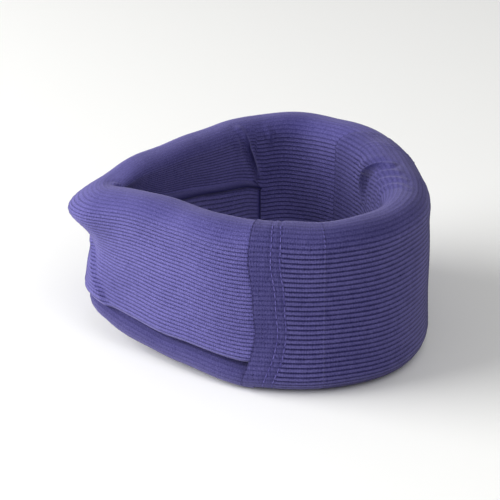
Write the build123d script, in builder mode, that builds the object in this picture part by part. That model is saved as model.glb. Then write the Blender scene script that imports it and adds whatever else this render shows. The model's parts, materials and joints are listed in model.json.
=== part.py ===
from build123d import *
import math
import os

os.makedirs("parts", exist_ok=True)

# Soft cervical collar, closed as worn. +Z is up, the chin points to -Y, the nape to +Y,
# and the origin lies in the rest plane, under the middle of the collar's box.

# ---- driving dimensions, in millimetres ----
collar_height = 80.0  # from the rest plane to the top rim
foam_half = 8.6  # half the foam's thickness
knit = 1.2  # thickness of one layer of ribbed knit
play = 0.1  # play between pieces that lie on each other
joint_gap = 0.3  # clearance between pieces that move apart
rim_flat = 2.0  # flat width left on top of each rounded rim

# Plan line, the middle of the band's thickness: the corners of a closed polygon and the
# radius that rounds each one. The first corner is the chin fold, then the closing
# side, the nape and the plain side.
plan_corners = [
    (10.3, -79.3),
    (69.3, -10.3),
    (72.3, 45.7),
    (33.3, 76.7),
    (-46.7, 56.7),
    (-72.7, 23.7),
    (-67.7, -6.3),
]
plan_radii = [12.0, 60.0, 52.0, 44.0, 60.0, 33.0, 45.0]

# The chin half has a thick pad above and a roll below, parted by a groove.
# Both rise towards the chin, to leave room for the breastbone.
chin_start = -4.5  # Y where the chin half begins, on both sides
chin_rise = 7.6  # slope of the chin half's lower edge, degrees
roll_height = 12.0
groove = 2.0  # height of the groove above the roll
roll_half = 8.4  # half the roll's thickness, cover included
roll_rounding = 5.4  # rounding of the roll's edges
seam_half = 1.0  # half the thickness of the sewn web inside the groove

# The band is one strip whose ends meet under the closing tab.
butt_y = 28.0  # Y of the butt joint between the two ends
hinge_point = (12.2, 71.4)  # plan point where the band bends open at the nape
hinge_heading = (-80.0, -20.0)  # direction of the plan line at that point
tab_thickness = 1.0
tab_lap = 4.0  # distance from the plan line to the tab's edge on the rims
tape = 0.75  # thickness of the hook tape and of the loop tape
tape_low, tape_high = 14.0, 66.0  # the tapes' lower and upper ends
tape_inset = 4.0  # from the tab's two ends to the tapes' ends
tape_gap = 0.8  # clearance between the hook tape and the loop tape

# The sleeve is a second ribbed tube over the nape half, hemmed at both ends.
hem_inner = (-55.5, 27.0)  # plan line of the hem on the plain side,
hem_outer = (-73.5, 45.0)  # from the inner face to the outer face
stitch_rows = (12.0, 15.5)  # distances of the twin seam from the hem's edge
stitch_length, stitch_pitch = 2.2, 3.4
stitch_width, stitch_proud = 0.5, 0.35
stitch_margin = 11.0  # from the rims to the first stitch

# A flexible strip stiffens the chin half from inside its cover.
strip_thickness = 1.0
strip_low = 18.0  # its lower edge, above the foot of the chin's slope
strip_high = 60.0  # its upper edge
strip_start = -9.0  # Y where its two ends lie

# ---- sizes that follow ----
layer = knit + play
cover_half = foam_half + layer
sleeve_half = cover_half + layer
tab_inner = sleeve_half - tab_thickness
end_half = tab_inner - 2 * tape - tape_gap - 2 * play  # reach of the end under the tab
slope = math.tan(math.radians(chin_rise))
pad_low = roll_height + groove
far = 150.0  # beyond the collar, for cutting blocks
chin_slope = Plane(origin=(0, 0, chin_start * slope), x_dir=(1, 0, 0), z_dir=(0, slope, 1))


def plan_area(reach):
    """The area inside the plan line, grown by reach, or shrunk where it is negative."""
    with BuildSketch() as area:
        with BuildLine():
            FilletPolyline(*plan_corners, radius=plan_radii, close=True)
        make_face()
        offset(amount=reach, kind=Kind.INTERSECTION)
    return area.sketch


def ring(outer, inner, height, base=Plane.XY):
    """A plain ring between two offsets of the plan line, standing on the base plane."""
    outer_area = plan_area(outer)
    inner_area = plan_area(inner)
    with BuildPart() as wall:
        with BuildSketch(base):
            add(outer_area)
            add(inner_area, mode=Mode.SUBTRACT)
        extrude(amount=height)
    return wall.part


def band(half, height, rounding, base=Plane.XY):
    """A ring of the given half thickness with rounded rims above and below."""
    plain = ring(half, -half, height, base)
    with BuildPart() as rounded:
        add(plain)
        ends = rounded.faces().sort_by(Axis(base.origin, base.z_dir))
        fillet(ends[0].edges() + ends[-1].edges(), radius=rounding)
    return rounded.part


def whole_band(inset, foot=None):
    """The whole band, inset by some layers of cloth from the sleeve's outer face.
    Its foot is inset by as much, unless another height is given."""
    half = sleeve_half - inset
    low = inset if foot is None else foot
    base = Plane.XY.offset(low)
    return band(half, collar_height - inset - low, half - rim_flat / 2, base)


def prism(corners):
    """An upright block over a polygon, taller than the collar."""
    with BuildPart() as block:
        with BuildSketch(Plane.XY.offset(-1)):
            with BuildLine():
                Polyline(*corners, close=True)
            make_face()
        extrude(amount=collar_height + 2)
    return block.part


def chin_wedge(height, start):
    """All that lies under the chin's slope, raised by height, from start in Y on."""
    with BuildPart() as wedge:
        with BuildSketch(Plane.YZ):
            with BuildLine():
                Polyline(
                    (start, -far),
                    (start, height),
                    (-far, height + (chin_start + far) * slope),
                    (-far, -far),
                    close=True,
                )
            make_face()
        extrude(amount=far, both=True)
    return wedge.part


def arm_zone(butt, shift):
    """The closing arm's share of the plan, past butt in Y and before the nape bend.
    The bend's plane is moved by shift along the plan line's heading."""
    along = Vector(*hinge_heading).normalized()
    across = Vector(along.Y, -along.X)
    bend = Vector(*hinge_point) + along * shift
    inner = bend - across * 3 * sleeve_half
    outer = bend + across * 3 * sleeve_half
    corners = [(inner.X, inner.Y), (outer.X, outer.Y), (far, far), (far, butt), (inner.X, butt)]
    return prism(corners)


def end_pocket(reach, margin):
    """What the end under the tab leaves out: all that stands out past reach."""
    low = chin_start - margin
    high = butt_y + joint_gap
    kept = plan_area(reach)
    with BuildPart() as pocket:
        with BuildSketch(Plane.XY.offset(-1)):
            with Locations((far / 2, (low + high) / 2)):
                Rectangle(far, high - low)
            add(kept, mode=Mode.SUBTRACT)
        extrude(amount=collar_height + 2)
    return pocket.part


def sleeve_zone():
    """The plan between the sleeve's hem on the plain side and the nape, and beyond."""
    inward = Vector(hem_inner[0] - hem_outer[0], hem_inner[1] - hem_outer[1])
    start = Vector(*hem_inner) + inward
    end = Vector(*hem_outer) - inward * 2
    return prism([(start.X, start.Y), (end.X, end.Y), (end.X, far), (far, far), (0, start.Y)])


def main_body(inset, foot=None, overrun=0.0):
    """The strip's longer part: chin pad, plain side and the nape up to its bend.
    A cavity overruns the bend, so that it is open there."""
    depth = inset - layer
    whole = whole_band(inset, foot)
    wedge = chin_wedge(pad_low + depth, chin_start + depth)
    arm = arm_zone(butt_y - depth, -overrun - joint_gap / 2)
    pocket = end_pocket(end_half - depth, depth)
    with BuildPart() as body:
        add(whole)
        add([wedge, arm, pocket], mode=Mode.SUBTRACT)
    return body.part


def arm_body(inset, overrun=0.0):
    """The strip's shorter part, from the butt joint to the nape bend.
    A cavity overruns the bend, so that it is open there."""
    whole = whole_band(inset)
    zone = arm_zone(butt_y + joint_gap + inset, overrun - joint_gap / 2)
    with BuildPart() as body:
        add(whole)
        add(zone, mode=Mode.INTERSECT)
    return body.part


def roll_band(inset):
    """The roll under the chin pad, inset from its cover's outer face, on the chin's slope."""
    height = roll_height - 2 * inset
    whole = band(roll_half - inset, height, roll_rounding - inset, chin_slope.offset(inset))
    start = chin_start - play - inset
    chin_half = prism([(-far, start), (far, start), (far, -far), (-far, -far)])
    with BuildPart() as roll:
        add(whole)
        add(chin_half, mode=Mode.INTERSECT)
    return roll.part


def strip_ring(margin):
    """The stiffening strip grown by margin on every side."""
    low = chin_wedge(strip_low - margin, 0)
    start = strip_start + margin
    chin_half = prism([(-far, start), (far, start), (far, -far), (-far, -far)])
    wall = ring(foam_half + margin, foam_half - strip_thickness - margin, strip_high + margin)
    with BuildPart() as strip:
        add(wall)
        add(chin_half, mode=Mode.INTERSECT)
        add(low, mode=Mode.SUBTRACT)
    return strip.part


def tape_sheet(outer, low_y):
    """A tape on the closing side, curved with the wall, with its outer face at outer."""
    wall = ring(outer, outer - tape, tape_high)
    high_y = butt_y - tape_inset
    zone = prism([(0, low_y), (far, low_y), (far, high_y), (0, high_y)])
    with BuildPart() as sheet:
        add(wall)
        add(zone, mode=Mode.INTERSECT)
        split(bisect_by=Plane.XY.offset(tape_low), keep=Keep.TOP)
    return sheet.part


def stitches(faces, spots):
    """Twin rows of stitches: short blocks at the spots, trimmed to the given faces."""
    count = int((collar_height - 2 * stitch_margin) / stitch_pitch) + 1
    heights = [stitch_margin + stitch_length / 2 + step * stitch_pitch for step in range(count)]
    with BuildPart() as rows:
        for spot in spots:
            for height in heights:
                with Locations(spot * Location((0, 0, height))):
                    Box(3 * sleeve_half, stitch_width, stitch_length)
        add(faces, mode=Mode.INTERSECT)
    return rows.part


# ---- the foam ----
main_foam = main_body(2 * layer)
strip_pocket = strip_ring(play)
with BuildPart() as foam_core:
    add(main_foam)
    add(strip_pocket, mode=Mode.SUBTRACT)
foam_core.part.label = "foam_core"
export_step(foam_core.part, "parts/foam_core.step")

arm_foam = arm_body(2 * layer)
with BuildPart() as arm_foam_core:
    add(arm_foam)
arm_foam_core.part.label = "arm_foam_core"
export_step(arm_foam_core.part, "parts/arm_foam_core.step")

roll_foam = roll_band(layer)
with BuildPart() as chin_roll_core:
    add(roll_foam)
chin_roll_core.part.label = "chin_roll_core"
export_step(chin_roll_core.part, "parts/chin_roll_core.step")

# ---- the stiffening strip inside the chin half ----
strip_solid = strip_ring(0)
with BuildPart() as stiffening_strip:
    add(strip_solid)
stiffening_strip.part.label = "stiffening_strip"
export_step(stiffening_strip.part, "parts/stiffening_strip.step")

# ---- the ribbed cover of the strip ----
# Where neither the sleeve nor the tab goes round it, the cover rests on the ground.
bare_cover = main_body(layer, foot=0)
sleeved_cover = main_body(layer)
cover_cavity = main_body(layer + knit, overrun=2 * layer)
under_sleeve = sleeve_zone()
tab_start = chin_start + play
tab_zone = prism([(0, tab_start), (far, tab_start), (far, butt_y), (0, butt_y)])
with BuildPart() as main_cover:
    add(bare_cover)
    add([under_sleeve, tab_zone], mode=Mode.SUBTRACT)
    add(sleeved_cover)
    add(cover_cavity, mode=Mode.SUBTRACT)
main_cover.part.label = "main_cover"
export_step(main_cover.part, "parts/main_cover.step")

arm_cover_outside = arm_body(layer)
arm_cover_cavity = arm_body(layer + knit, overrun=2 * layer)
with BuildPart() as arm_cover:
    add(arm_cover_outside)
    add(arm_cover_cavity, mode=Mode.SUBTRACT)
arm_cover.part.label = "arm_cover"
export_step(arm_cover.part, "parts/arm_cover.step")

roll_outside = roll_band(0)
roll_cavity = roll_band(knit)
with BuildPart() as chin_roll_cover:
    add(roll_outside)
    add(roll_cavity, mode=Mode.SUBTRACT)
chin_roll_cover.part.label = "chin_roll_cover"
export_step(chin_roll_cover.part, "parts/chin_roll_cover.step")

# The sewn web in the groove joins the roll's cover to the pad's.
web_foot = chin_slope.offset(roll_height + play)
web_ring = ring(seam_half, -seam_half, groove - 3 * play, web_foot)
web_zone = prism([(-far, chin_start - groove), (far, chin_start - groove), (far, -far), (-far, -far)])
with BuildPart() as groove_seam:
    add(web_ring)
    add(web_zone, mode=Mode.INTERSECT)
groove_seam.part.label = "groove_seam"
export_step(groove_seam.part, "parts/groove_seam.step")

# ---- the sleeve over the nape half ----
sleeve_outside = whole_band(0)
sleeve_cavity = whole_band(knit)
arm_side = arm_zone(0, -joint_gap / 2)
with BuildPart() as sleeve_back:
    add(sleeve_outside)
    add(sleeve_cavity, mode=Mode.SUBTRACT)
    add(under_sleeve, mode=Mode.INTERSECT)
    add(arm_side, mode=Mode.SUBTRACT)
sleeve_back.part.label = "sleeve_back"
export_step(sleeve_back.part, "parts/sleeve_back.step")

sleeve_arm_outside = arm_body(0)
sleeve_arm_cavity = arm_body(knit, overrun=2 * layer)
with BuildPart() as sleeve_arm:
    add(sleeve_arm_outside)
    add(sleeve_arm_cavity, mode=Mode.SUBTRACT)
sleeve_arm.part.label = "sleeve_arm"
export_step(sleeve_arm.part, "parts/sleeve_arm.step")

# ---- the closing tab and its tapes ----
# The tab goes on where the sleeve ends, and folds over both rims.
tab_inside = whole_band(tab_thickness)
tab_opening = ring(tab_lap, -sleeve_half, collar_height)
with BuildPart() as closing_tab:
    add(sleeve_outside)
    add([tab_inside, tab_opening], mode=Mode.SUBTRACT)
    add(tab_zone, mode=Mode.INTERSECT)
closing_tab.part.label = "closing_tab"
export_step(closing_tab.part, "parts/closing_tab.step")

hook_sheet = tape_sheet(tab_inner - play, tab_start + tape_inset)
with BuildPart() as hook_tape:
    add(hook_sheet)
hook_tape.part.label = "hook_tape"
export_step(hook_tape.part, "parts/hook_tape.step")

loop_sheet = tape_sheet(end_half + play + tape, tab_start + tape_inset)
with BuildPart() as loop_tape:
    add(loop_sheet)
loop_tape.part.label = "loop_tape"
export_step(loop_tape.part, "parts/loop_tape.step")

# ---- the hems' twin seams ----
stitch_inner = sleeve_half + play / 2
stitch_outer = stitch_inner + stitch_proud
outer_faces = ring(stitch_outer, stitch_inner, collar_height)
inner_faces = ring(-stitch_inner, -stitch_outer, collar_height)

tab_middle = plan_corners[1][0]
tab_spots = [Location((tab_middle + sleeve_half, tab_start + row, 0)) for row in stitch_rows]
tab_stitches = stitches(outer_faces, tab_spots)
with BuildPart() as tab_seam:
    add(tab_stitches)
tab_seam.part.label = "tab_seam"
export_step(tab_seam.part, "parts/tab_seam.step")

hem_run = Vector(hem_outer[0] - hem_inner[0], hem_outer[1] - hem_inner[1])
hem_angle = math.degrees(math.atan2(hem_run.Y, hem_run.X))
hem_middle = Vector((hem_inner[0] + hem_outer[0]) / 2, (hem_inner[1] + hem_outer[1]) / 2)
hem_normal = Vector(hem_run.Y, -hem_run.X).normalized()
hem_spots = []
for row in stitch_rows:
    spot = hem_middle + hem_normal * row
    hem_spots.append(Location((spot.X, spot.Y, 0), (0, 0, hem_angle)))
hem_stitches = stitches([outer_faces, inner_faces], hem_spots)
with BuildPart() as hem_seam:
    add(hem_stitches)
hem_seam.part.label = "hem_seam"
export_step(hem_seam.part, "parts/hem_seam.step")
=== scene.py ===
"""The looks of a closed soft cervical collar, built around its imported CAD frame."""

import json
import math

import bpy
import numpy as np
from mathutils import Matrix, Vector


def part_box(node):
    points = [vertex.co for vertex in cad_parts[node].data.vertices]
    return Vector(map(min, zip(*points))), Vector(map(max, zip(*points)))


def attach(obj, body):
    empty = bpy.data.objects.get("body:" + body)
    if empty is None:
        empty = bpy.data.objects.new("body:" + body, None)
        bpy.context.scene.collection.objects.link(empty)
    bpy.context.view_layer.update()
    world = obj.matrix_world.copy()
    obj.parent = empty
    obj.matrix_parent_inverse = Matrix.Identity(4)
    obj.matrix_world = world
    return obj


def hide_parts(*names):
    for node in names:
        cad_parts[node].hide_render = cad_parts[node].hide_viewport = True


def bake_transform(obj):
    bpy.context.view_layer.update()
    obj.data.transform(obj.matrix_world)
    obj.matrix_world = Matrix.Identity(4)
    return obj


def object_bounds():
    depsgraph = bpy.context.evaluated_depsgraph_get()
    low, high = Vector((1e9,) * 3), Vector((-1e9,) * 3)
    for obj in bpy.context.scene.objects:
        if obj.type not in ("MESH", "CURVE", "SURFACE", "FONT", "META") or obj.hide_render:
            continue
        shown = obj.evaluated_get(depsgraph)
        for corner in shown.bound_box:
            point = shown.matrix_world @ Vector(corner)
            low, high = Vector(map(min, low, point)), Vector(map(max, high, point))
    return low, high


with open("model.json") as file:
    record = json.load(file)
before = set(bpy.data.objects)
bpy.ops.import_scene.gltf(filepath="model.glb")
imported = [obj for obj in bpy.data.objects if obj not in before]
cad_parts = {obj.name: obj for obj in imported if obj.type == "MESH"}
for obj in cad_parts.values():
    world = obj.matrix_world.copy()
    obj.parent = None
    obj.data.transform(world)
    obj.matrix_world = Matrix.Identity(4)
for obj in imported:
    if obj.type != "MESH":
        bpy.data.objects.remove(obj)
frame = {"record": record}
cad_low, cad_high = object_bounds()
MM = 0.001

# ---- the band, in millimetres, as in the CAD part ----
HEIGHT = (cad_high[2] - cad_low[2]) / MM
COVER_HALF = 9.9  # half the band's thickness at the chin, cover included
SLEEVE_HALF = 11.2  # the same with the sleeve or the tab over it
LAYER = 1.3  # one layer of knit with its play
FOAM_HALF = 8.6

# Corners of the plan line as shares of the CAD box, each with its rounding radius: the
# chin fold, the closing side, the nape and the plain side.
PLAN = [
    (0.562, 0.027, 12.0),
    (0.922, 0.439, 60.0),
    (0.940, 0.773, 52.0),
    (0.702, 0.957, 44.0),
    (0.214, 0.838, 60.0),
    (0.056, 0.641, 33.0),
    (0.086, 0.462, 45.0),
]


def joint_point(name):
    """Where a joint's axis stands in plan, in millimetres."""
    for joint in frame["record"]["behaviour"]["joints"]:
        if joint["name"] == name:
            return np.array(joint["pos_m"][:2]) / MM
    raise ValueError(name)


# ---- the plan line ----
def rounded_loop(corners, spacing=0.25):
    """Points every spacing along a closed polygon whose corners are rounded."""
    points = np.array([corner[:2] for corner in corners])
    runs = []
    for index, corner in enumerate(corners):
        here = points[index]
        back = points[index - 1] - here
        ahead = points[(index + 1) % len(points)] - here
        back /= np.linalg.norm(back)
        ahead /= np.linalg.norm(ahead)
        half = math.acos(np.clip(back @ ahead, -1, 1)) / 2
        tangent = corner[2] / math.tan(half)
        centre = here + (back + ahead) / np.linalg.norm(back + ahead) * corner[2] / math.sin(half)
        start = here + back * tangent - centre
        end = here + ahead * tangent - centre
        turn = math.atan2(start[0] * end[1] - start[1] * end[0], start @ end)
        angles = np.linspace(0, turn, max(4, int(abs(turn) * corner[2] / spacing)))
        cos, sin = np.cos(angles), np.sin(angles)
        runs.append(
            centre + np.stack([start[0] * cos - start[1] * sin, start[0] * sin + start[1] * cos], 1)
        )
    loop = np.concatenate(runs + [runs[0][:1]])
    lengths = np.concatenate([[0], np.cumsum(np.linalg.norm(np.diff(loop, axis=0), axis=1))])
    even = np.arange(0, lengths[-1], spacing)
    return np.stack([np.interp(even, lengths, loop[:, axis]) for axis in (0, 1)], 1), spacing


def in_box(share_x, share_y):
    """A plan point in millimetres from its shares of the CAD box."""
    return (
        (cad_low[0] + share_x * (cad_high[0] - cad_low[0])) / MM,
        (cad_low[1] + share_y * (cad_high[1] - cad_low[1])) / MM,
    )


corners_mm = [(*in_box(x, y), radius) for x, y, radius in PLAN]
line, line_step = rounded_loop(corners_mm)
apex = int(np.argmin(line[:, 1]))  # the chin's foremost point, where s is zero
line = np.roll(line, -apex, axis=0)
PERIMETER = len(line) * line_step
heading = np.roll(line, -6, axis=0) - np.roll(line, 6, axis=0)
heading /= np.linalg.norm(heading, axis=1)[:, None]
outward = np.stack([heading[:, 1], -heading[:, 0]], 1)


def plan_at(s):
    """Plan points and outward directions at distances s along the plan line."""
    at = (np.asarray(s) / line_step) % len(line)
    low = np.floor(at).astype(int) % len(line)
    high = (low + 1) % len(line)
    share = (at - np.floor(at))[..., None]
    point = line[low] * (1 - share) + line[high] * share
    out = outward[low] * (1 - share) + outward[high] * share
    return point, out / np.linalg.norm(out, axis=-1)[..., None]


def station(x_sign, y):
    """The distance along the plan line of the point at y, on one side of the collar."""
    side = np.sign(line[:, 0] - line[0, 0]) == x_sign
    return float(np.argmin(np.where(side, np.abs(line[:, 1] - y), 1e9)) * line_step)


def smooth(low, high, value):
    """0 below low, 1 above high, and smooth between them."""
    share = np.clip((value - low) / (high - low), 0, 1)
    return share * share * (3 - 2 * share)


def bell(value, centre, width):
    return np.exp(-(((value - centre) / width) ** 2))


# ---- the places that the pieces share ----
hinge = joint_point("arm_open")
BUTT_Y = joint_point("tab_peel")[1]  # where the tab goes on from the sleeve
TAB_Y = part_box("closing_tab")[0][1] / MM  # the tab's free edge
CHIN_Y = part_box("chin_roll_cover")[1][1] / MM  # where the chin half begins
PAD_END_Y = -6.0  # where the pad ends on the plain side
HEM_BACK = 12.6  # how far the sleeve's hem stands back from the CAD's
s_tab = station(1, TAB_Y)
s_butt = station(1, BUTT_Y)
s_chin_start = station(1, CHIN_Y)
s_nape = float(np.argmin(np.linalg.norm(line - hinge, axis=1)) * line_step)
s_hem = station(-1, (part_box("hem_seam")[0][1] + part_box("hem_seam")[1][1]) / 2 / MM) - HEM_BACK
s_plain = station(-1, PAD_END_Y)
CHIN_SLOPE = math.tan(math.radians(7.6))
ROLL_HEIGHT = 12.0
GROOVE = 2.0
PAD_SLOPE = 0.105  # slope of the pad's lower edge


def around_chin(s):
    """Distance from the chin's apex, negative on the plain side."""
    return (s + PERIMETER / 2) % PERIMETER - PERIMETER / 2


def chin_foot(s):
    """Height of the chin half's lower edge above the rest plane."""
    point, _ = plan_at(s)
    return np.maximum(0, CHIN_Y - point[..., 1]) * CHIN_SLOPE


# ---- how the soft band departs from its plan ----
LIP_OUT, LIP_HEIGHT, LIP_WIDTH = 9.8, 67.0, 9.0  # the flared lip at the chin
PROW_BACK = 4.2  # how far the chin's middle stands back from the CAD
PROW_WIDTH = 15.0  # how far along the band the chin's middle stands out or back
TIP_DROP = 5.0  # how much lower the rim is at the chin
FOOT_LIFT = 2.8  # how much higher the roll is at the chin's middle
FOOT_SAG = 1.6  # how much lower it is on the way to the tab
LEAN = 0.8  # outward lean of the closing side's foot
NAPE_IN = 4.2  # how far the nape's closing side stands in below its rim
NAPE_TRIM = 1.7  # how far its rim stands in
NAPE_RISE = 1.5  # how much higher the rim is at the nape
SWELL = 0.3  # uneven swelling of the faces
RIPPLE = 0.22  # uneven height of the rims


def prow(z):
    """How far forward the chin's middle stands at a height."""
    waist = 0.6 * bell(z, 45, 9)  # further back under the lip
    keel = 0.4 * bell(z, 18, 8)  # less far back at the pad's foot
    return LIP_OUT * bell(z, LIP_HEIGHT, LIP_WIDTH) - PROW_BACK * (0.7 + waist - keel)


def settle(s, n, z):
    """Moves points given along, across and up the band to where the soft band has them."""
    chin = around_chin(s)
    point, out = plan_at(s)
    run = np.mod(s + 30, PERIMETER) - 30  # from just before the chin right round the band
    nape = bell(run, s_nape - 12.0, 34.0)
    lean = LEAN * smooth(-10, 60, run) * (1 - smooth(s_nape - 10, s_nape + 60, run))
    n = n + lean * (1 - z / (HEIGHT / 2))
    n = n - nape * (NAPE_TRIM + (NAPE_IN - NAPE_TRIM) * (1 - smooth(62, HEIGHT + 4, z)))
    n = n + SWELL * np.sin(s / 7.9 + z / 17.0) + SWELL * np.sin(s / 15.1 - z / 9.0 + 1.3)
    place = np.empty(np.broadcast(s, n, z).shape + (3,))
    place[..., :2] = point + out * n[..., None]
    place[..., 1] -= prow(z) * bell(chin, 0, PROW_WIDTH)
    drop = TIP_DROP * bell(chin, 0, 20.0) * smooth(35, HEIGHT, z)
    rise = NAPE_RISE * bell(run, s_nape + 25.0, 50.0) * smooth(50, HEIGHT, z)
    low = 1 - smooth(12, 34, z)  # the part that the foot's lift and sag take along
    lift = FOOT_LIFT * bell(chin, -2, 15) * low - FOOT_SAG * bell(chin, 40, 20) * low
    place[..., 2] = z - drop + rise + lift + RIPPLE * np.sin(s / 5.3 + n / 8.0) * smooth(0, 10, z)
    return place


# ---- sections ----
def section(u, half_out, half_in, top, foot, top_round, foot_round):
    """Points across and up for u from the rim's middle (0) down the outer face to the
    foot's middle (1) and up the inner face (2). Returns them with the way in millimetres."""
    u = np.mod(u, 2.0)
    outer = u <= 1
    way_share = np.where(outer, u, 2 - u)
    half = np.where(outer, half_out, half_in)
    top_round = np.minimum(top_round, half)
    foot_round = np.minimum(foot_round, half)
    runs = [
        half - top_round,
        top_round * math.pi / 2,
        top - foot - top_round - foot_round,
        foot_round * math.pi / 2,
        half - foot_round,
    ]
    total = sum(runs)
    way = way_share * total
    marks = np.cumsum(np.stack(np.broadcast_arrays(*runs)), axis=0)
    turn_top = np.clip((way - marks[0]) / np.maximum(top_round, 1e-6), 0, math.pi / 2)
    turn_foot = np.clip((way - marks[2]) / np.maximum(foot_round, 1e-6), 0, math.pi / 2)
    flat_top = np.minimum(way, marks[0])
    down = np.clip(way - marks[1], 0, runs[2])
    flat_foot = np.maximum(0, way - marks[3])
    n = flat_top + top_round * np.sin(turn_top) - foot_round * (1 - np.cos(turn_foot)) - flat_foot
    z = top - top_round * (1 - np.cos(turn_top)) - down - foot_round * np.sin(turn_foot)
    return np.where(outer, n, -n), z, np.where(outer, way, -way)


def ribs(phase, sharpness=0.62):
    """Rounded ribs with narrow valleys: 0 in a valley and 1 on a crest."""
    return np.abs(np.sin(math.pi * phase)) ** sharpness


# ---- meshes ----
def place_object(name, data):
    """A new object in the scene."""
    piece = bpy.data.objects.new(name, data)
    bpy.context.scene.collection.objects.link(piece)
    return piece


def quads(corners, u_of, v_of):
    """Faces of four corners each, and where the corners are on the knit's map."""
    uvs = [np.stack([u.ravel(), v.ravel()], 1) for u, v in zip(u_of, v_of)]
    return np.stack([corner.ravel() for corner in corners], 1), np.stack(uvs, 1)


def grid_quads(rows, columns, closed, uv_u, uv_v):
    """The faces of a grid, facing into the band."""
    span = columns if closed else columns - 1
    i, j = np.meshgrid(np.arange(rows - 1), np.arange(span), indexing="ij")
    nxt = (j + 1) % columns
    corners = [i * columns + j, (i + 1) * columns + j, (i + 1) * columns + nxt, i * columns + nxt]
    u_of = [uv_u[i, j], uv_u[i + 1, j], uv_u[i + 1, nxt], uv_u[i, nxt]]
    return quads(corners, u_of, [uv_v[j], uv_v[j], uv_v[j + 1], uv_v[j + 1]])


def cap_quads(rows, columns, uv_u, uv_v):
    """Strips across a closed grid's first row and its last."""
    k = np.arange(columns // 2)
    strips = [k, k + 1, (columns - k - 1) % columns, (columns - k) % columns]
    return [
        quads([row * columns + corner for corner in corners], uv_u[row, corners], uv_v[corners])
        for row, corners in ((0, strips), (rows - 1, strips[::-1]))
    ]


def edge_quads(rows, columns, uv_u, uv_v):
    """The faces between the edges of a thin shell's two grids."""
    ring = np.concatenate([
        np.arange(columns - 1),
        np.arange(rows - 1) * columns + columns - 1,
        (rows - 1) * columns + np.arange(columns - 1, 0, -1),
        np.arange(rows - 1, 0, -1) * columns,
    ])
    ahead, base = np.roll(ring, -1), rows * columns
    on_map = [ring, ahead, ahead, ring]
    flat_v = np.tile(uv_v[:columns], rows)
    return quads([ring, ahead, ahead + base, ring + base], uv_u.ravel()[on_map], flat_v[on_map])


def grid_mesh(name, grids, closed, uv_u, uv_v, calm_and_shade):
    """A mesh over one grid of points, or a thin shell over two. Closed grids wrap round
    their second axis, and their ends are capped by strips across the section."""
    rows, columns = grids[0].shape[:2]
    inward, inward_uvs = grid_quads(rows, columns, closed, uv_u, uv_v)
    parts = [(inward[:, ::-1], inward_uvs[:, ::-1])]
    if len(grids) == 2:
        parts.append((inward + rows * columns, inward_uvs))
    if closed:
        parts += cap_quads(rows, columns, uv_u, uv_v)
    if len(grids) == 2:
        parts.append(edge_quads(rows, columns, uv_u, uv_v))
    faces, uvs = (np.concatenate(part) for part in zip(*parts))
    keep = np.array([len(set(face)) == 4 for face in faces])
    polygons = faces[keep].tolist()
    corner_uvs = [uvs[keep].reshape(-1, 2)]
    for face, corner in zip(faces[~keep], uvs[~keep]):  # the caps' ends are triangles
        unique = [index for index in range(4) if face[index] not in face[:index]]
        if len(unique) == 3:
            polygons.append([int(face[index]) for index in unique])
            corner_uvs.append(corner[unique])
    mesh = bpy.data.meshes.new(name)
    verts = np.concatenate([grid.reshape(-1, 3) for grid in grids]) * MM
    mesh.from_pydata(verts.tolist(), [], polygons)
    layer = mesh.uv_layers.new(name="knit")
    layer.data.foreach_set("uv", np.concatenate(corner_uvs).astype(np.float32).ravel())
    faced = len(grids) * len(inward)  # the caps and the shell's edges are flat
    mesh.polygons.foreach_set("use_smooth", np.arange(len(mesh.polygons)) < faced)
    values = np.tile(calm_and_shade.ravel(), len(grids)).astype(np.float32)
    mesh.attributes.new("calm_and_shade", "FLOAT", "POINT").data.foreach_set("value", values)
    mesh.update()
    return place_object(name, mesh)


def face_normals(points, closed):
    """Unit normals of a grid of points, out of the band."""
    along = np.gradient(points, axis=0)
    if closed:
        across = np.roll(points, -1, axis=1) - np.roll(points, 1, axis=1)
    else:
        across = np.gradient(points, axis=1)
    normal = np.cross(across, along)
    length = np.linalg.norm(normal, axis=-1)[..., None]
    return -normal / np.maximum(length, 1e-9)


def shares(start, end, step):
    """Shares of the way from start to end, a step apart. The step may be a function of s."""
    fine = np.linspace(0, 1, 4000)
    s = start + (end - start) * fine
    steps = step(s) if callable(step) else np.full(s.shape, float(step))
    count = np.concatenate([[0], np.cumsum(np.abs(np.diff(s)) / steps[1:])])
    rows = max(3, int(round(count[-1])) + 1)
    return np.interp(np.linspace(0, count[-1], rows), count, fine)[:, None]


def rim_calm_and_shade(s, way, z, u):
    """How flat the ribs lie and how much painted shade darkens the knit: more on the rims than on the faces.
    """
    return 0.6 * (1 - smooth(8, 19, np.abs(way)))


def sweep(
    name, start, end, step, u, profile,
    relief=None, closed=True, shell=0.0, loop=1.5, rib_count=1, calm_and_shade=rim_calm_and_shade,
):
    """Sweeps a section along the band from start to end, which may vary round the section.
    profile(s, u) gives the section and relief(s, way, z, u) how far each point stands out.
    loop is the length of one loop of the knit, and shell makes a thin sheet of that gauge."""
    start, end = np.broadcast_to(start, u.shape), np.broadcast_to(end, u.shape)
    share = shares(start.mean(), end.mean(), step)
    s = start + (end - start) * share
    across = np.broadcast_to(u, s.shape)
    n, z, way = profile(s, across)
    points = settle(s, n, z)
    normal = face_normals(points, closed)
    lift = relief(s, way, z, across) if relief else 0
    outer = points + normal * np.broadcast_to(lift, s.shape)[..., None]
    grids = [outer]
    if shell:
        grids.append(points - normal * shell)
    uv_v = np.concatenate([u, [u[0] + 2]]) * rib_count
    calm_and_shade_of = np.broadcast_to(calm_and_shade(s, way, z, across), s.shape)
    return grid_mesh(name, grids, closed, s / loop, uv_v, calm_and_shade_of)


def closed_u(rib_count, samples):
    """Values of u round a whole section, with some samples on each rib."""
    return np.arange(2 * rib_count * samples) / (rib_count * samples)


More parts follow.
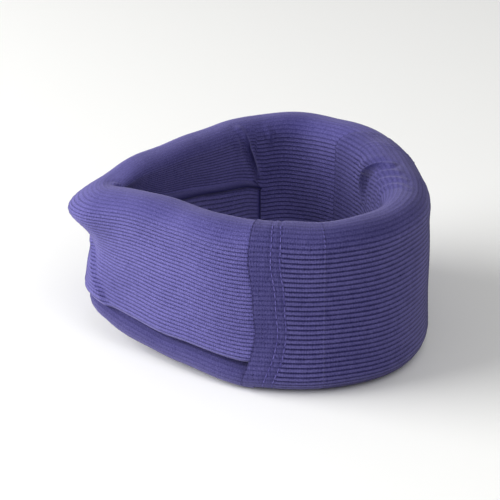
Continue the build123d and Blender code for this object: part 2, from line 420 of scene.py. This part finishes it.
# ---- wrinkles, each from one place to another on the band ----
def near_crease(s, way, points):
    """How far each place is from a fold through points, each a distance along the band and
    a way round it, and how strong the fold is there: it fades at both ends."""
    points = np.array(points, float)
    runs = np.linalg.norm(np.diff(points, axis=0), axis=1)
    begin = np.concatenate([[0], np.cumsum(runs)])
    nearest, reached = np.full(np.shape(s), 1e9), np.zeros(np.shape(s))
    for index, length in enumerate(runs):
        run = (points[index + 1] - points[index]) / length
        along = np.clip((s - points[index, 0]) * run[0] + (way - points[index, 1]) * run[1], 0, length)
        away = np.hypot(s - points[index, 0] - along * run[0], way - points[index, 1] - along * run[1])
        closer = away < nearest
        nearest = np.where(closer, away, nearest)
        reached = np.where(closer, begin[index] + along, reached)
    return nearest, np.sin(math.pi * np.clip(reached / begin[-1], 0.06, 0.94)) ** 0.6


def crease(s, way, points, width, depth):
    """A groove along a fold, between two low ridges."""
    nearest, fade = near_crease(s, way, points)
    return depth * fade * (0.3 * bell(nearest, 2.3 * width, width) - bell(nearest, 0, width))


def crease_shade(s, way, points, width, amount):
    """How much darker a fold's groove is."""
    nearest, fade = near_crease(s, way, points)
    return amount * fade * bell(nearest, 0, width)


# ---- materials ----
class Nodes:
    """Adds shader nodes to one material and links them."""

    def __init__(self, name):
        self.material = bpy.data.materials.new(name)
        self.material.use_nodes = True
        self.tree = self.material.node_tree
        self.shader = self.tree.nodes["Principled BSDF"]

    def add(self, kind, inputs=(), **settings):
        node = self.tree.nodes.new(kind)
        for key, value in settings.items():
            setattr(node, key, value)
        for key, value in dict(inputs).items():
            if isinstance(value, bpy.types.NodeSocket):
                self.tree.links.new(value, node.inputs[key])
            else:
                node.inputs[key].default_value = value
        return node

    def math(self, operation, first, second=0.0, third=None):
        inputs = {0: first, 1: second}
        if third is not None:
            inputs[2] = third
        return self.add("ShaderNodeMath", inputs, operation=operation).outputs[0]

    def ramp(self, value, low, high):
        inputs = {"Value": value, "From Min": low, "From Max": high}
        return self.add("ShaderNodeMapRange", inputs, interpolation_type="SMOOTHSTEP").outputs[0]

    def mix(self, share, first, second):
        inputs = {0: share, 6: first, 7: second}
        return self.add("ShaderNodeMix", inputs, data_type="RGBA").outputs[2]

    def noise(self, vector, scale, detail=2.0):
        inputs = {"Vector": vector, "Scale": scale, "Detail": detail}
        return self.add("ShaderNodeTexNoise", inputs).outputs["Fac"]

    def link(self, value, socket):
        self.tree.links.new(value, self.shader.inputs[socket])


def srgb(*channels):
    """A linear colour from three display values of 11 to 255."""
    return [((channel / 255 + 0.055) / 1.055) ** 2.4 for channel in channels] + [1]


# VIOLET_DARK is the colour of the painted shade in rib valleys, in the grooves of folds and in gaps.
VIOLET_DARK = srgb(15, 12, 62)
VIOLET = srgb(62, 58, 122)
VIOLET_LIGHT = srgb(121, 115, 184)


def shaded(colour, share):
    """The same colour with a share of its light."""
    return [channel * share for channel in colour[:3]] + [1]


def knit_material(name, contrast, lines, shade):
    """Ribbed knit: looped ribs with dotted valleys, drawn in the piece's own weave map; the valleys are
    darkened with painted shade.
    The piece's per-point attribute weakens the valleys and darkens the hems; it lays painted shade on the
    rims and in the grooves of folds and gaps, and, below zero, painted light on inner faces."""
    make = Nodes(name)
    uv = make.add("ShaderNodeUVMap", uv_map="knit").outputs[0]
    place = make.add("ShaderNodeTexCoord").outputs["Object"]
    calm_and_shade = make.add("ShaderNodeAttribute", attribute_name="calm_and_shade").outputs["Fac"]
    split = make.add("ShaderNodeSeparateXYZ", {0: uv})
    along, rib = split.outputs[0], split.outputs[1]
    wobble = make.noise(place, 420.0)
    along = make.math("MULTIPLY_ADD", wobble, 1.6, along)
    crest = make.math("ABSOLUTE", make.math("SINE", make.math("MULTIPLY", rib, math.pi)))
    slant = make.math("MULTIPLY", crest, 0.32)
    turned = make.math("MULTIPLY", make.math("ADD", along, slant), math.pi)
    loop = make.math("ABSOLUTE", make.math("SINE", turned))
    loop_edge = make.ramp(loop, 0.0, 0.7)
    depth = make.math("MULTIPLY", make.math("MULTIPLY_ADD", calm_and_shade, -1.0, 1.0), contrast)
    patches = make.noise(place, 38.0, 3.0)
    streaks = make.noise(place, 300.0, 2.0)
    fuzz = make.noise(place, 1900.0, 3.0)
    wide = make.math("MULTIPLY_ADD", streaks, 1.0, lines - 0.5)
    valley = make.math("SUBTRACT", 1.0, make.ramp(crest, 0.0, wide))
    valley = make.math("MULTIPLY", valley, make.math("MULTIPLY_ADD", loop_edge, -0.36, 1.0))
    valley = make.math("MULTIPLY", valley, depth)
    light = make.math("MULTIPLY_ADD", loop_edge, 0.08, 0.03)
    light = make.math("ADD", light, make.math("MULTIPLY", fuzz, 1.1))
    light = make.math("MULTIPLY", light, make.math("MULTIPLY_ADD", patches, 0.6, 0.7))
    # Painted shade on rims, folds and gaps, and painted light on inner faces where the attribute is below
    # zero.
    light = make.math("MULTIPLY", light, make.math("MULTIPLY_ADD", calm_and_shade, -0.45, 1.0))
    colour = make.mix(make.ramp(light, 0.15, 0.95), shaded(VIOLET, shade), shaded(VIOLET_LIGHT, shade))
    # Painted shade in the rib valleys.
    colour = make.mix(valley, colour, VIOLET_DARK)
    # Painted shade, deepest in the grooves of folds and the gaps, where the attribute passes 0.65.
    colour = make.mix(make.math("MULTIPLY", make.ramp(calm_and_shade, 0.65, 1.7), 0.85), colour, VIOLET_DARK)
    height = make.math("MULTIPLY_ADD", loop_edge, 0.15, make.math("MULTIPLY", fuzz, 0.5))
    height = make.math("SUBTRACT", height, valley)
    bump = make.add("ShaderNodeBump", {"Strength": 0.8, "Distance": 0.0004, "Height": height})
    make.link(colour, "Base Color")
    make.link(bump.outputs[0], "Normal")
    make.link(make.math("MULTIPLY_ADD", fuzz, 0.2, 0.75), "Roughness")
    make.shader.inputs["Specular IOR Level"].default_value = 0.1
    make.shader.inputs["Sheen Weight"].default_value = 0.35
    make.shader.inputs["Sheen Roughness"].default_value = 0.5
    make.shader.inputs["Sheen Tint"].default_value = srgb(190, 184, 235)
    return make.material


def plain_material(name, dark, pale, grain, bump_depth, roughness):
    """A grained material of two shades: foam, thread, tape or film."""
    make = Nodes(name)
    place = make.add("ShaderNodeTexCoord").outputs["Object"]
    fine = make.noise(place, grain, 4.0)
    broad = make.noise(place, grain / 18, 2.0)
    share = make.math("MULTIPLY_ADD", broad, 0.5, make.math("MULTIPLY", fine, 0.5))
    make.link(make.mix(make.ramp(share, 0.3, 0.7), dark, pale), "Base Color")
    bump = make.add("ShaderNodeBump", {"Strength": 0.7, "Distance": bump_depth, "Height": fine})
    make.link(bump.outputs[0], "Normal")
    make.shader.inputs["Specular IOR Level"].default_value = 0.2
    make.link(make.math("MULTIPLY_ADD", fine, 0.15, roughness), "Roughness")
    return make.material


def pile_material(name, dark, pale, spacing):
    """Hook or loop tape: rows of small round tufts."""
    make = Nodes(name)
    place = make.add("ShaderNodeTexCoord").outputs["Object"]
    cells = make.add("ShaderNodeTexVoronoi", {"Vector": place, "Scale": 1 / spacing, "Randomness": 0.35})
    tuft = make.ramp(cells.outputs["Distance"], 0.65, 0.05)
    patch = make.noise(place, 90.0)
    share = make.math("MULTIPLY", tuft, make.math("MULTIPLY_ADD", patch, 0.5, 0.7))
    make.link(make.mix(share, dark, pale), "Base Color")
    bump = make.add("ShaderNodeBump", {"Strength": 1.0, "Distance": 0.0006, "Height": tuft})
    make.link(bump.outputs[0], "Normal")
    make.link(make.math("MULTIPLY_ADD", tuft, 0.3, 0.5), "Roughness")
    return make.material


# Lit and shaded copies of one knit: the sleeve's and the roll's lower shade is painted shade, for the flap
# turned from the lamps and the roll under the pad's edge.
cover_knit = knit_material("cover_knit", contrast=1.1, lines=0.8, shade=0.76)
sleeve_knit = knit_material("sleeve_knit", contrast=1.4, lines=1.0, shade=0.6)
roll_knit = knit_material("roll_knit", contrast=1.0, lines=0.8, shade=0.52)
foam_stuff = plain_material("foam", srgb(206, 198, 170), srgb(236, 230, 206), 1400.0, 0.0004, 0.85)
thread_stuff = plain_material("thread", srgb(60, 54, 122), srgb(116, 109, 176), 3000.0, 0.00008, 0.6)
strip_stuff = plain_material("strip", srgb(214, 216, 220), srgb(234, 236, 238), 500.0, 0.00004, 0.35)
hook_stuff = pile_material("hook_tape", srgb(38, 32, 84), srgb(112, 104, 172), 0.0011)
loop_stuff = pile_material("loop_tape", srgb(52, 46, 104), srgb(140, 132, 196), 0.0008)


def finish_piece(piece, material, nodes, body=None, blend=None):
    """Gives a piece its material and hides the CAD nodes it stands for. It attaches the piece to a body, or
    with a blend bakes its placement into its mesh.
    """
    piece.data.materials.append(material)
    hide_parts(*nodes)
    if body:
        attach(piece, body)
    if blend:
        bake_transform(piece)


def metres(*values):
    return tuple(value * MM for value in values)


# The nape bends over a length of the band, and the tab just past its seam.
nape_bend = ("collar", "closing_arm", metres(-20, hinge[1], 0), metres(46, hinge[1], 0))
tab_bend = ("closing_arm", "tab", metres(0, BUTT_Y - 0.1, 0), metres(0, BUTT_Y - 4.5, 0))


# ---- the chin pad's cover, from under the tab round the chin to under the sleeve ----
COVER_RIBS, COVER_SAMPLES = 42, 5
TOP_ROUND = 9.0
END_HALF = 7.7  # reach of the end under the tab
FOOT_ROUND = 3.4  # rounding of the pad's lower edge over the groove
TUCKED_ROUND, FULL_ROUND = 4.3, 5.6  # what it gains under the tab and past the pad
RECESS = 5.0  # step in the inner face of the plain side
RECESS_EDGE = 48.0  # height of the step where the chin half ends
RECESS_RISE = 0.25  # how fast it rises towards the chin
RECESS_END_Y = -66.0


def under_tab(s):
    """1 where the closing side's end lies under the tab."""
    chin = around_chin(s)
    return smooth(s_tab + 6.0, s_tab + 8.5, chin) * (chin < s_butt + 1)


def beyond_pad(s):
    """1 where the plain side has its full height."""
    chin = around_chin(s)
    return (1 - smooth(around_chin(s_plain) - 0.6, around_chin(s_plain) + 0.6, chin)) * (chin < 0)


def recess_edge(s):
    """Height of the lower edge of the pad on the plain side's inner face."""
    point, _ = plan_at(s)
    return RECESS_EDGE - RECESS_RISE * np.minimum(0, point[..., 1])


def pad_foot(s):
    """Height of the pad's lower edge, over the groove."""
    return ROLL_HEIGHT + GROOVE + chin_foot(s) * PAD_SLOPE / CHIN_SLOPE


def pad_section(s, u, inset=0.0):
    tucked = under_tab(s)
    full = beyond_pad(s)
    foot = pad_foot(s) * (1 - tucked) * (1 - full) + LAYER * (tucked + full)
    half_out = COVER_HALF * (1 - tucked) + END_HALF * tucked
    top = HEIGHT - LAYER * tucked
    foot_round = FOOT_ROUND + TUCKED_ROUND * tucked + FULL_ROUND * full
    n, z, way = section(
        u, half_out - inset, COVER_HALF - inset, top - inset, foot + inset, TOP_ROUND - inset, foot_round
    )
    shift = (recess_edge(s) - RECESS_EDGE) * (around_chin(s) < 0) * (way < 0)
    # The rows near the recess's edge rise with it, and those at the foot and the rim stay.
    below, above = (z - foot) / (RECESS_EDGE - foot), (top - z) / (top - RECESS_EDGE)
    return n, z + shift * np.clip(np.where(z < RECESS_EDGE, below, above), 0, 1), way


def recess_depth(s, z, way):
    """How far the plain side's inner face stands back, as a share, under the pad's edge."""
    point, _ = plan_at(s)
    plain_side = (around_chin(s) < 0) * smooth(RECESS_END_Y, RECESS_END_Y + 12, point[..., 1])
    along = plain_side * (1 - beyond_pad(s))
    return along * (way < 0) * (1 - smooth(recess_edge(s) - 1.4, recess_edge(s) + 0.5, z))


FOLD_DEPTH = 1.8  # step of the closing side's layer over the chin's
FOLD_RISE = 26.0  # how high its edge climbs at the chin
COVER_RELIEF = 0.3  # depth of the ribs
LIP_GAP, END_GAP = 1.4, 1.2  # extra depth under the pad's edge and at its upright end


def under_fold(s, z, way):
    """1 below and before the curved edge of the closing side's layer at the chin."""
    chin = around_chin(s)
    edge = pad_foot(s) - 3.0 + FOLD_RISE * np.exp(-(chin - 3.5) / 6.5)
    below = 1 - smooth(-2.2, 2.2, z - np.minimum(edge, 50.0))
    return below * (way > 0) * smooth(-18.0, -6.0, chin) * (1 - under_tab(s))


PAD_END = around_chin(s_plain)
# Kinks beside the pad's end: their points, width and depth.
KINKS = [
    ([(PAD_END + 10, -7), (PAD_END + 6.5, -19), (PAD_END - 2.0, -35)], 1.7, 2.6),
    ([(PAD_END - 8.5, -9), (PAD_END - 11, -19)], 1.4, 1.5),
    ([(PAD_END + 16, -10), (PAD_END + 13, -21)], 1.5, 0.9),
]
CHIN_CREASE = [(-1.0, -4.0), (0.5, -40.0)]  # the fold inside the chin


def pad_calm_and_shade(s, way, z, u):
    """The inner face's ribs are deeper than the outer face's, and painted light lightens that face; painted
    shade darkens its kinks and its gaps.
    """
    chin = around_chin(s)
    calm_and_shade = rim_calm_and_shade(s, way, z, u) - 0.35 * smooth(12, 20, -way)
    for points, width, depth in KINKS:
        calm_and_shade = np.maximum(calm_and_shade, crease_shade(chin, way, points, width, 0.6 * depth))
    lower = recess_depth(s, z, way)
    # Painted shade in the gap under the pad's edge and at its upright end.
    gap = np.maximum(bell(z - recess_edge(s), -1.6, 1.5), bell(chin, PAD_END + 1.5, 1.6))
    return np.maximum(calm_and_shade, 1.7 * gap * (lower > 0.02))


def pad_relief(s, way, z, u):
    chin = around_chin(s)
    flat = np.minimum(pad_calm_and_shade(s, way, z, u), 1)
    lift = COVER_RELIEF * (1 - flat) * (ribs(u * COVER_RIBS) - 1) + 0.1
    lower = recess_depth(s, z, way)
    lift = lift - RECESS * lower - LIP_GAP * bell(z - recess_edge(s), -1.4, 1.0) * (lower > 0.02)
    lift = lift - END_GAP * lower * bell(chin, PAD_END + 1.5, 1.2)
    lift = lift - FOLD_DEPTH * under_fold(s, z, way)
    lift = lift + crease(chin, way, CHIN_CREASE, 1.5, 1.2)
    for points, width, depth in KINKS:
        lift = lift + crease(chin, way, points, width, depth)
    return lift


def foam_relief(s, way, z, u):
    return -RECESS * recess_depth(s, z, way)


def pad_step(s):
    """Rows are closer at the chin and at the pad's end, and wider under the tab."""
    chin = around_chin(s)
    close = np.maximum(bell(chin, 0, 20.0), bell(chin, around_chin(s_plain), 4.0))
    return 1.75 - 1.05 * close + 1.2 * under_tab(s)


under_sleeve = s_hem - 8.0  # where the pad's cover ends, under the sleeve's hem
pad_cover = sweep(
    "pad_cover", under_sleeve - PERIMETER, s_butt - 0.3, pad_step, closed_u(COVER_RIBS, COVER_SAMPLES),
    pad_section, pad_relief, rib_count=COVER_RIBS, loop=0.95, calm_and_shade=pad_calm_and_shade,
)
finish_piece(pad_cover, cover_knit, ["main_cover"], body="collar")

foam_chin = sweep(
    "foam_chin", under_sleeve + 4.0 - PERIMETER, s_butt - 2.0, 3.0, closed_u(12, 6),
    lambda s, u: pad_section(s, u, LAYER + 0.5), foam_relief, loop=3.0,
)
finish_piece(foam_chin, foam_stuff, ["foam_core"], body="collar")

# ---- the cover and the foam inside the sleeve ----
INNER_RIBS = 40


def inner_section(s, u, inset=0.0):
    half = COVER_HALF - 0.1 - inset
    rounding = TOP_ROUND - inset
    return section(u, half, half, HEIGHT - LAYER - inset, LAYER + inset, rounding, rounding)


def inner_relief(s, way, z, u):
    return 0.4 * (ribs(u * INNER_RIBS) - 1)


inner_cover = sweep(
    "inner_cover", s_butt + 0.4, under_sleeve - 1.0, 3.0, closed_u(INNER_RIBS, 4),
    inner_section, inner_relief, rib_count=INNER_RIBS, loop=1.35,
)
finish_piece(inner_cover, cover_knit, ["arm_cover"], blend=nape_bend)

foam_nape = sweep(
    "foam_nape", s_butt + 2.4, under_sleeve - 3.0, 4.0, closed_u(12, 6),
    lambda s, u: inner_section(s, u, LAYER + 0.5), loop=3.0,
)
finish_piece(foam_nape, foam_stuff, ["arm_foam_core"], blend=nape_bend)


# ---- the sleeve over the nape half ----
SLEEVE_RIBS, SLEEVE_SAMPLES = 40, 6
HEM_SKEW = 1.2  # how far the plain side's hem runs along the band for its way across it
SEAM_ROWS = (8.8, 12.4)  # the twin seam's distances from the tab's free edge
HEM_ROWS = (21.0, 24.4)  # the same from the hem on the plain side
# The deep fold where the band bends most, as distances along it past the nape's middle
# and ways round it, and the step from it to the shallower folds beside it.
BEND_FOLD = [(38.5, -34), (35.8, -26), (30.6, -17), (19.0, -9), (13.0, -4)]
FOLD_STEP = (-10.5, 1.5)
SHALLOW_FOLDS = ((1, 1.3, 0.9), (2, 1.1, 0.8), (3, 0.9, 0.7))  # steps away, depth, darkness
SLEEVE_ROUND = 10.2
SEAM_SUNK = 0.35  # how far a row of stitches pulls the knit in


def sleeve_section(s, u):
    return section(u, SLEEVE_HALF, SLEEVE_HALF, HEIGHT, 0.0, SLEEVE_ROUND, SLEEVE_ROUND)


def way_across(u):
    """How far across the band a point of the section stands, out being positive."""
    n, _, _ = sleeve_section(0.0, u)
    return n


def hem_line(u):
    """Where the sleeve's hem stands along the band on the plain side."""
    return s_hem - HEM_SKEW * way_across(u) + 0.6 * np.sin(u * 9.0)


def sleeve_ribs(u):
    return 0.5 * (ribs(u * SLEEVE_RIBS) - 1) + 0.15


def sleeve_calm_and_shade(s, way, z, u):
    # The ribs lie flat on the rims and the hem; painted shade darkens the rims and the grooves of the folds,
    # and the hem band is darker.
    to_hem = hem_line(u) - s
    hem = 0.45 * (1 - smooth(HEM_ROWS[0] - 1, HEM_ROWS[0] + 1, to_hem)) - 0.1 * smooth(12, 20, -way)
    fold = np.array(BEND_FOLD) + (s_nape, 0)
    shade = crease_shade(s, way, fold, 1.5, 1.8)
    for count, _, amount in SHALLOW_FOLDS:
        beside = fold + np.multiply(FOLD_STEP, count)
        shade = np.maximum(shade, crease_shade(s, way, beside, 1.0, amount))
    return np.maximum(np.maximum(rim_calm_and_shade(s, way, z, u), hem), shade)


def sleeve_relief(s, way, z, u):
    lift = sleeve_ribs(u) * (1 - np.minimum(sleeve_calm_and_shade(s, way, z, u), 1))
    fold = np.array(BEND_FOLD) + (s_nape, 0)
    lift = lift + crease(s, way, fold, 1.5, 3.4)
    for count, depth, _ in SHALLOW_FOLDS:
        lift = lift + crease(s, way, fold + np.multiply(FOLD_STEP, count), 1.3, depth)
    lift = lift + crease(s, way, fold[1:] - np.multiply(FOLD_STEP, 1.2), 1.4, 0.6)
    to_hem = hem_line(u) - s
    for row in HEM_ROWS:
        lift = lift - SEAM_SUNK * bell(to_hem, row, 0.9)
    return lift + 0.5 * (1 - smooth(0, 3, to_hem))


sleeve_u = closed_u(SLEEVE_RIBS, SLEEVE_SAMPLES)
sleeve = sweep(
    "sleeve", s_butt - 0.4, hem_line(sleeve_u), 1.1, sleeve_u, sleeve_section, sleeve_relief,
    rib_count=SLEEVE_RIBS, loop=1.1, calm_and_shade=sleeve_calm_and_shade,
)
finish_piece(sleeve, sleeve_knit, ["sleeve_back", "sleeve_arm"], blend=nape_bend)


# ---- the closing tab ----
TAB_LAP = 0.115  # how far the tab laps past the rims' middles, as a share of a face's way
TAB_SHORT = 1.9  # how far its free edge stops short of the CAD's
TAB_BOW = 2.9  # bow of its free edge
TAB_CORNER = 3.4  # how far its lower corner runs forward
RIB_STEPS = SLEEVE_RIBS * SLEEVE_SAMPLES


def tab_edge(height):
    """Where the tab's free edge stands along the band at a height."""
    bow = TAB_BOW * bell(height, 34.0, 22.0) - TAB_CORNER * (1 - smooth(3, 20, height))
    return s_tab + TAB_SHORT + bow + 0.25 * np.sin(height / 3.7)


def tab_calm_and_shade(s, way, z, u):
    # The ribs lie flat on the rims and the hem band; painted shade darkens the rims, and the hem band is
    # darker.
    hem = 0.55 * (1 - smooth(SEAM_ROWS[1] - 0.5, SEAM_ROWS[1] + 1.5, s - tab_edge(z)))
    return np.maximum(rim_calm_and_shade(s, way, z, u), hem)


def tab_relief(s, way, z, u):
    from_edge = s - tab_edge(z)
    lift = sleeve_ribs(u) * (1 - tab_calm_and_shade(s, way, z, u))
    for row in SEAM_ROWS:
        lift = lift - SEAM_SUNK * bell(from_edge, row, 0.9)
    hem = 0.35 * (1 - smooth(0, 5, from_edge))
    waves = 0.15 * np.sin(way / 6.0) * (1 - smooth(0, 12, from_edge))
    return lift + hem + waves


lap_steps = int(TAB_LAP * RIB_STEPS)
tab_u = np.arange(-lap_steps, RIB_STEPS + lap_steps + 1) / RIB_STEPS
_, tab_z, _ = sleeve_section(0.0, tab_u)
tab = sweep(
    "tab", s_butt, tab_edge(tab_z), 0.8, tab_u, sleeve_section, tab_relief,
    closed=False, shell=1.0, rib_count=SLEEVE_RIBS, loop=1.1, calm_and_shade=tab_calm_and_shade,
)
finish_piece(tab, sleeve_knit, ["closing_tab"], blend=tab_bend)


# ---- the chin roll, its foam and the web in the groove ----
ROLL_RIBS = 12
ROLL_HALF = 8.6
ROLL_ROUND = 5.4
roll_start, roll_end = station(-1, CHIN_Y) - PERIMETER, s_chin_start + 4.0


def roll_section(s, u, inset=0.0):
    foot = chin_foot(s) + inset
    half = ROLL_HALF - inset
    rounding = ROLL_ROUND - inset
    return section(u, half, half, foot + ROLL_HEIGHT - 2 * inset, foot, rounding, rounding)


def roll_relief(s, way, z, u):
    puff = 0.2 * np.sin(s / 6.1) * np.sin(s / 17.0)
    return 0.28 * (ribs(u * ROLL_RIBS) - 1) + 0.1 + puff


roll_cover = sweep(
    "roll_cover", roll_start, roll_end, 1.3, closed_u(ROLL_RIBS, 6), roll_section, roll_relief,
    rib_count=ROLL_RIBS, loop=0.95,
)
finish_piece(roll_cover, roll_knit, ["chin_roll_cover"], body="collar")

roll_foam = sweep(
    "roll_foam", roll_start + 1.8, roll_end - 1.8, 3.0, closed_u(6, 6),
    lambda s, u: roll_section(s, u, LAYER + 0.3), loop=3.0,
)
finish_piece(roll_foam, foam_stuff, ["chin_roll_core"], body="collar")


def web_section(s, u):
    foot = chin_foot(s) + ROLL_HEIGHT - 0.6
    return section(u, 1.2, 1.2, foot + GROOVE + 1.2, foot, 1.0, 1.0)


web = sweep("groove_web", roll_start + 1.0, roll_end - 1.0, 2.0, closed_u(2, 6), web_section, loop=1.35)
finish_piece(web, thread_stuff, ["groove_seam"], body="collar")


# ---- thin pieces along the band: the stiffening strip and the tapes ----
def flat_section(middle_n, thickness, low_z, high_z):
    """The section of a thin upright strip whose middle stands at a way across the band."""
    half = thickness / 2

    def profile(s, u):
        low = low_z(s) if callable(low_z) else low_z
        n, z, way = section(u, half, half, high_z, low, half * 0.9, half * 0.9)
        return n + middle_n, z, way

    return profile


TAPE = 0.75
_, strip_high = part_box("stiffening_strip")
strip_end_y = strip_high[1] / MM
strip = sweep(
    "strip", station(-1, strip_end_y) - PERIMETER, station(1, strip_end_y), 2.0, closed_u(8, 4),
    flat_section(FOAM_HALF - 0.9, 1.0, lambda s: chin_foot(s) + 18.0, strip_high[2] / MM), loop=3.0,
)
finish_piece(strip, strip_stuff, ["stiffening_strip"], body="collar")

tape_low, tape_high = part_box("hook_tape")
tape_start, tape_end = station(1, tape_low[1] / MM), station(1, tape_high[1] / MM)
tape_z = (tape_low[2] / MM, tape_high[2] / MM)
hook_tape = sweep(
    "hook_strip", tape_start + 4.5, tape_end - 0.6, 1.5, closed_u(20, 4),
    flat_section(SLEEVE_HALF - 1.1 - TAPE / 2, TAPE, *tape_z), loop=3.0,
)
finish_piece(hook_tape, hook_stuff, ["hook_tape"], body="tab")
loop_tape = sweep(
    "loop_strip", tape_start + 4.5, tape_end, 1.5, closed_u(20, 4),
    flat_section(END_HALF + TAPE / 2, TAPE, *tape_z), loop=3.0,
)
finish_piece(loop_tape, loop_stuff, ["loop_tape"], body="collar")


# ---- stitches ----
STITCH_LENGTH, STITCH_PITCH, STITCH_RADIUS = 2.4, 3.4, 0.24
STITCH_SIDES, STITCH_PARTS = 6, 6
THREAD_SUNK, THREAD_ARCH = 0.1, 0.34  # how far a stitch's ends sink in and its middle rises
KNIT_SUNK = 0.2  # how far in the row lies on the section


def row_surface(place_of, low_share, high_share):
    """Points along a row of stitches, the directions out of the knit there, and the row's
    length up to each point. place_of gives (s, u) from a share of the way round."""
    s, u = place_of(np.linspace(low_share, high_share, 600))
    n, z, _ = sleeve_section(s, u)
    row = settle(s, n, z)
    ahead = settle(*np.broadcast_arrays(s + 0.2, n, z))
    normal = np.cross(np.gradient(row, axis=0), ahead - row)
    normal /= np.linalg.norm(normal, axis=1)[:, None]
    across = (normal[:, :2] * plan_at(s)[1]).sum(1) * np.sign(n)
    upward = normal[:, 2] * np.sign(z - HEIGHT / 2) * 0.5
    normal *= np.sign(np.median(np.sign(across + upward)))
    length = np.concatenate([[0], np.cumsum(np.linalg.norm(np.diff(row, axis=0), axis=1))])
    return row - normal * KNIT_SUNK, normal, length


def stitch_verts(row, normal, length, begin):
    """The points of one arched thread, ring by ring, from a distance along the row."""
    where = begin + STITCH_LENGTH * np.linspace(0, 1, STITCH_PARTS)
    arch = np.sin(math.pi * np.linspace(0.04, 0.96, STITCH_PARTS))
    out, centre = (
        np.stack([np.interp(where, length, data[:, axis]) for axis in range(3)], 1) for data in (normal, row)
    )
    centre = centre + out * (arch * THREAD_ARCH - THREAD_SUNK)[:, None]
    run = np.gradient(centre, axis=0)
    run /= np.linalg.norm(run, axis=1)[:, None]
    side = np.cross(out, run)
    radius = STITCH_RADIUS * (0.55 + 0.45 * arch)
    verts = []
    for k in range(STITCH_PARTS):
        for corner in range(STITCH_SIDES):
            angle = 2 * math.pi * corner / STITCH_SIDES
            around = side[k] * math.cos(angle) + out[k] * math.sin(angle)
            verts.append((centre[k] + radius[k] * around) * MM)
    return verts


def stitch_faces(base):
    """The faces of one thread whose points begin at base, with its two ends."""
    faces = []
    for k in range(STITCH_PARTS - 1):
        ring = base + k * STITCH_SIDES
        for corner in range(STITCH_SIDES):
            nxt = (corner + 1) % STITCH_SIDES
            faces.append((ring + corner, ring + nxt, ring + STITCH_SIDES + nxt, ring + STITCH_SIDES + corner))
    last = base + (STITCH_PARTS - 1) * STITCH_SIDES
    faces.append(tuple(base + corner for corner in range(STITCH_SIDES)))
    faces.append(tuple(last + corner for corner in reversed(range(STITCH_SIDES))))
    return faces


def stitch_rows(name, rows):
    """Short arched threads along rows, each given as row_surface takes it."""
    verts, faces = [], []
    for row_of in rows:
        row, normal, length = row_surface(*row_of)
        for begin in np.arange(0.5, length[-1] - STITCH_LENGTH, STITCH_PITCH):
            faces += stitch_faces(len(verts))
            verts += stitch_verts(row, normal, length, begin)
    mesh = bpy.data.meshes.new(name)
    mesh.from_pydata([tuple(vert) for vert in verts], [], faces)
    mesh.polygons.foreach_set("use_smooth", [True] * len(mesh.polygons))
    mesh.update()
    return place_object(name, mesh)


def tab_row(distance):
    """A row at a distance from the tab's free edge."""

    def place_of(share):
        _, z, _ = sleeve_section(0.0, share)
        return tab_edge(z) + distance, share

    return place_of


def hem_row(distance):
    """A row at a distance from the sleeve's hem on the plain side."""

    def place_of(share):
        return hem_line(share) - distance, share

    return place_of


OUTER_FACE, INNER_FACE = (0.03, 0.97), (1.03, 1.97)
tab_rows = [(tab_row(row), 0.02, 0.97) for row in SEAM_ROWS]
tab_stitches = stitch_rows("tab_stitches", tab_rows)
finish_piece(tab_stitches, thread_stuff, ["tab_seam"], body="tab")
hem_rows = [(hem_row(row), *face) for row in HEM_ROWS for face in (OUTER_FACE, INNER_FACE)]
hem_stitches = stitch_rows("hem_stitches", hem_rows)
finish_piece(hem_stitches, thread_stuff, ["hem_seam"], body="collar")


# ---- floor, light and camera ----
def area_light(name, place, aim, size, power):
    data = bpy.data.lights.new(name, "AREA")
    data.shape = "DISK"
    data.size = size
    data.energy = power
    lamp = place_object(name, data)
    lamp.location = place
    lamp.rotation_euler = (aim - place).to_track_quat("-Z", "Y").to_euler()


KEY_PLACE, KEY_SIZE, KEY_POWER = (0.1, -1.4, 0.55), 1.6, 42.0
FILL_PLACE, FILL_SIZE, FILL_POWER = (1.0, 0.4, 1.1), 1.2, 7.5
WORLD_LIGHT = 0.33
FLOOR_HALF = 6.0
FLOOR_GAP = 0.0009  # how far the floor is below the CAD's lowest point, clear of the ribs
VIEW_ELEVATION = math.radians(24.0)
VIEW_DISTANCE = 1.1
VIEW_LENS, VIEW_SENSOR = 166.3, 36.0
VIEW_AIM = (0.0136, -0.0043, 0.0026)  # the picture's middle, from the collar's


def pale_floor():
    corners = [(x * FLOOR_HALF, y * FLOOR_HALF, 0) for x, y in ((-1, -1), (1, -1), (1, 1), (-1, 1))]
    mesh = bpy.data.meshes.new("floor")
    mesh.from_pydata(corners, [], [(0, 1, 2, 3)])
    floor = place_object("floor", mesh)
    floor.location.z = cad_low[2] - FLOOR_GAP
    make = Nodes("floor")
    make.shader.inputs["Base Color"].default_value = srgb(249, 249, 247)
    make.shader.inputs["Roughness"].default_value = 0.9
    mesh.materials.append(make.material)


middle = (Vector(cad_low) + Vector(cad_high)) / 2
pale_floor()
area_light("key", middle + Vector(KEY_PLACE), middle, KEY_SIZE, KEY_POWER)
area_light("fill", middle + Vector(FILL_PLACE), middle, FILL_SIZE, FILL_POWER)
world = bpy.data.worlds.new("studio")
bpy.context.scene.world = world
world.use_nodes = True
background = world.node_tree.nodes["Background"]
background.inputs["Color"].default_value = (1.0, 1.0, 1.0, 1)
background.inputs["Strength"].default_value = WORLD_LIGHT
bpy.context.scene.view_settings.view_transform = "Standard"

aim = middle + Vector(VIEW_AIM)
camera_data = bpy.data.cameras.new("camera")
camera_data.lens = VIEW_LENS
camera_data.sensor_width = VIEW_SENSOR
camera = place_object("camera", camera_data)
camera.location = aim + VIEW_DISTANCE * Vector((math.cos(VIEW_ELEVATION), 0, math.sin(VIEW_ELEVATION)))
camera.rotation_euler = (aim - camera.location).to_track_quat("-Z", "Y").to_euler()
bpy.context.scene.camera = camera
